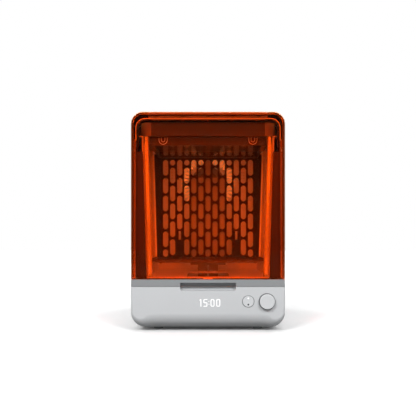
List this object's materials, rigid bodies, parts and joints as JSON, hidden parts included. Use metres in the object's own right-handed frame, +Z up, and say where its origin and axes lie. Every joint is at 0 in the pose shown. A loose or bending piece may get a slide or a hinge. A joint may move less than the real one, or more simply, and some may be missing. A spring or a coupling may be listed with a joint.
{
  "type": "dental lab light curing unit",
  "caption": "Bench-top light curing unit with an orange lift-up window, mirror-walled chamber with tray and hot-air baffle, timer display, knob and mode button.",
  "frame": {"origin": "on the table, in the middle of the bounding box", "axes": "+X to the right of a person who faces the window, +Y to the rear, +Z up"},
  "size_m": [0.261, 0.383, 0.372],
  "materials": {
    "shell_grey": "fine moulded texture, light grey",
    "control_grey": "smooth moulded, light grey",
    "casing_paint": "powder coat, light grey",
    "rail_grey": "fine moulded texture, mid grey",
    "amber_acrylic": "polished orange acrylic",
    "edge_silicone": "translucent orange silicone",
    "foot_rubber": "matt",
    "zinc_steel": "zinc plated",
    "hinge_steel": "stainless, satin",
    "magnet_nickel": "nickel plated",
    "frame_black": "matt black coat",
    "rear_paint": "powder coat, mid grey",
    "encoder_brass": "plain",
    "black_plastic": "moulded, black",
    "mark_white": "lit white",
    "board_green": "solder resist",
    "bright_aluminium": "bright rolled",
    "baffle_steel": "heat tinted sheet",
    "tray_steel": "satin sheet",
    "lamp_paint": "dark grey coat",
    "lamp_aluminium": "white solder resist on aluminium",
    "lamp_glass": "clear",
    "bracket_steel": "mill finish",
    "motor_black": "black coat",
    "heater_wire": "resistance wire",
    "post_ceramic": "steatite"
  },
  "bodies": {
    "root": {"base_shell": "shell_grey", "foot_front_left": "foot_rubber", "foot_front_right": "foot_rubber", "foot_rear_left": "foot_rubber", "foot_rear_right": "foot_rubber", "foot_screws": "zinc_steel", "deck": "zinc_steel", "casing": "casing_paint", "chassis_screws": "zinc_steel", "front_frame": "frame_black", "rear_panel": "rear_paint", "hinge_leaf_casing": "hinge_steel", "hinge_pin": "hinge_steel", "base_magnets": "magnet_nickel", "encoder": "black_plastic", "mode_switch": "black_plastic", "display_figures": "mark_white", "display_module": "black_plastic", "control_board": "board_green", "power_supply": "bright_aluminium", "mains_inlet": "black_plastic", "inlet_pins": "encoder_brass", "side_reflector_left": "bright_aluminium", "side_reflector_right": "bright_aluminium", "floor_pan": "bright_aluminium", "ceiling_panel": "bright_aluminium", "rear_reflector": "bright_aluminium", "tray_ledges": "bright_aluminium", "slotted_baffle": "baffle_steel", "baffle_angles": "bright_aluminium", "lamp_housing": "lamp_paint", "upper_lamp": "lamp_aluminium", "lens_frame": "lamp_paint", "lens_glass": "lamp_glass", "lens_clips": "lamp_paint", "lamp_brackets": "bright_aluminium", "floor_lamp": "lamp_aluminium", "floor_glass": "lamp_glass", "fan_bracket": "bracket_steel", "fan_motor": "motor_black", "heater_coil": "heater_wire", "heater_posts": "post_ceramic", "exhaust_frames": "black_plastic", "finger_guards": "bracket_steel"},
    "door": {"door_window": "amber_acrylic", "door_rail": "rail_grey", "door_seal": "edge_silicone", "hinge_leaf_door": "hinge_steel", "door_screws": "zinc_steel", "rail_magnets": "magnet_nickel"},
    "encoder_rotor": {"encoder_rotor": "encoder_brass"},
    "knob": {"knob": "control_grey", "knob_shaft": "zinc_steel"},
    "mode_button": {"mode_button": "control_grey", "mode_marks": "mark_white"},
    "tray": {"tray": "tray_steel"},
    "circulation_fan": {"circulation_fan": "bracket_steel"},
    "exhaust_rotor_left": {"exhaust_rotor_left": "black_plastic"},
    "exhaust_rotor_right": {"exhaust_rotor_right": "black_plastic"},
    "power_rocker": {"power_rocker": "black_plastic"}
  },
  "joints": [
    {"name": "door_hinge", "type": "hinge", "parent": "root", "child": "door", "pos_m": [0, -0.1365, 0.3694], "axis": [-1, 0, 0], "range_deg": [0, 100]},
    {"name": "knob_turn", "type": "hinge", "parent": "root", "child": "encoder_rotor", "pos_m": [0.0998, -0.1845, 0.051], "axis": [0, 1, 0], "continuous": true},
    {"name": "knob_press", "type": "slide", "parent": "encoder_rotor", "child": "knob", "axis": [0, 1, 0], "range_m": [0, 0.0008], "stiffness_N_per_m": 1500, "springref_m": -0.0006},
    {"name": "mode_press", "type": "slide", "parent": "root", "child": "mode_button", "axis": [0, 1, 0], "range_m": [0, 0.0008], "stiffness_N_per_m": 900, "springref_m": -0.001},
    {"name": "tray_lift", "type": "slide", "parent": "root", "child": "tray", "axis": [0, 0, 1], "range_m": [0, 0.05]},
    {"name": "circulation_fan_spin", "type": "hinge", "parent": "root", "child": "circulation_fan", "pos_m": [0, 0.1155, 0.276], "axis": [0, 1, 0], "continuous": true},
    {"name": "exhaust_spin_left", "type": "hinge", "parent": "root", "child": "exhaust_rotor_left", "pos_m": [-0.08, 0.1755, 0.314], "axis": [0, 1, 0], "continuous": true},
    {"name": "exhaust_spin_right", "type": "hinge", "parent": "root", "child": "exhaust_rotor_right", "pos_m": [0.08, 0.1755, 0.314], "axis": [0, 1, 0], "continuous": true},
    {"name": "power_rock", "type": "hinge", "parent": "root", "child": "power_rocker", "pos_m": [0.094, 0.1805, 0.038], "axis": [1, 0, 0], "range_deg": [0, 14]}
  ]
}
